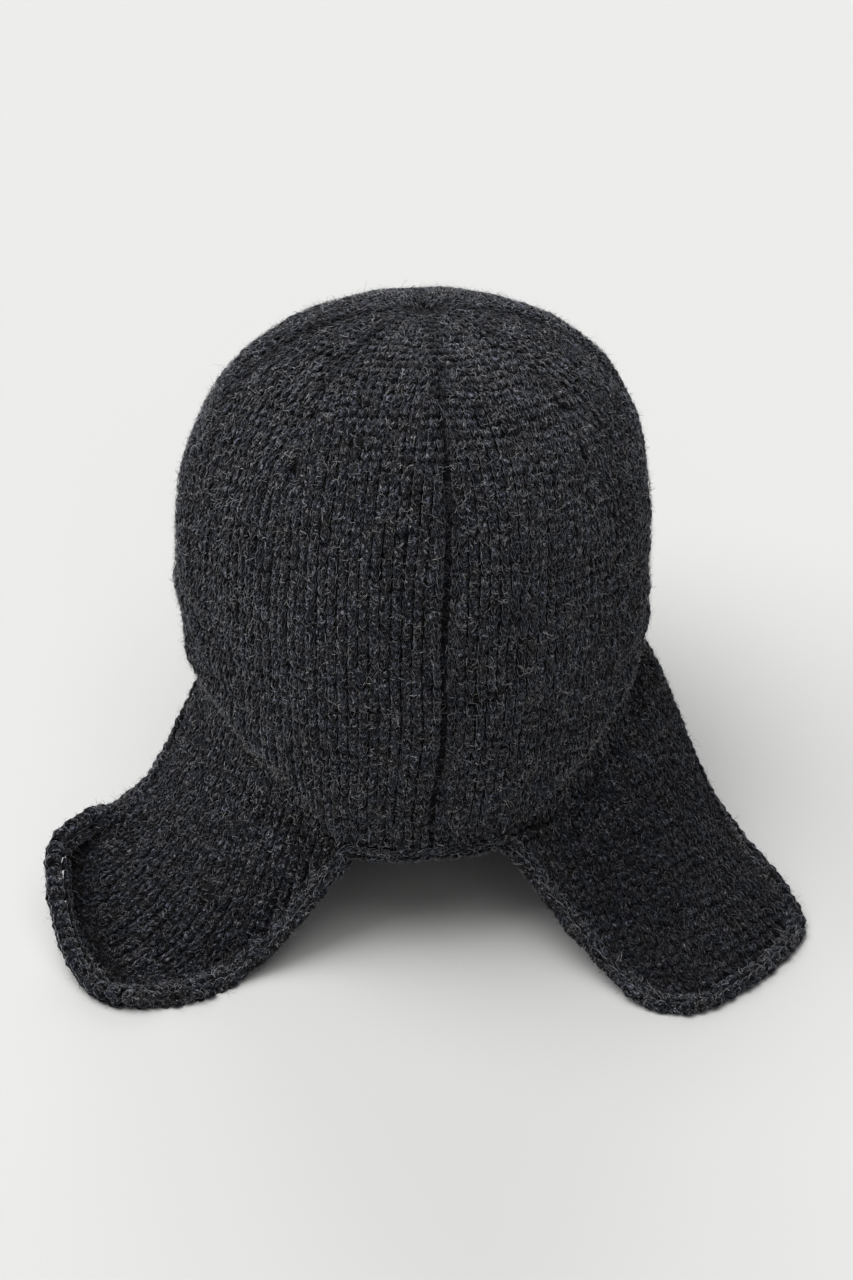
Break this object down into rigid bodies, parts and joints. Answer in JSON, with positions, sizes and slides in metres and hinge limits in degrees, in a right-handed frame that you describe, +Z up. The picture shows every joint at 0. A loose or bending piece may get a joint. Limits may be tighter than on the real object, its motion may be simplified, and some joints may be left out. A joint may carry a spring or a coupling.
{
  "type": "knit earflap cap",
  "caption": "Chunky knit cap with a rounded crown, a sewn back seam, wide splayed earflaps and a narrow knitted border all round its free edge.",
  "frame": {"origin": "on the ground, under the middle of the cap's bounding box, with the cap standing on its brow and both earflap ends", "axes": "+Z up; -Y towards the nape and its back seam, which is the side the picture shows; +Y towards the face opening; +X to the right as seen from the nape"},
  "size_m": [0.3008, 0.255, 0.2204],
  "materials": {
    "crown_knit": "charcoal heather wool in stockinette, matt and hairy",
    "flap_knit": "charcoal heather wool in stockinette, matt and hairy",
    "border_knit": "charcoal heather wool, a narrow chain-edged border"
  },
  "bodies": {
    "root": {"crown": "crown_knit", "earflap_left": "flap_knit", "earflap_right": "flap_knit", "edge_band_back": "border_knit", "edge_band_right": "border_knit", "edge_band_front": "border_knit", "edge_band_left": "border_knit"}
  },
  "joints": []
}
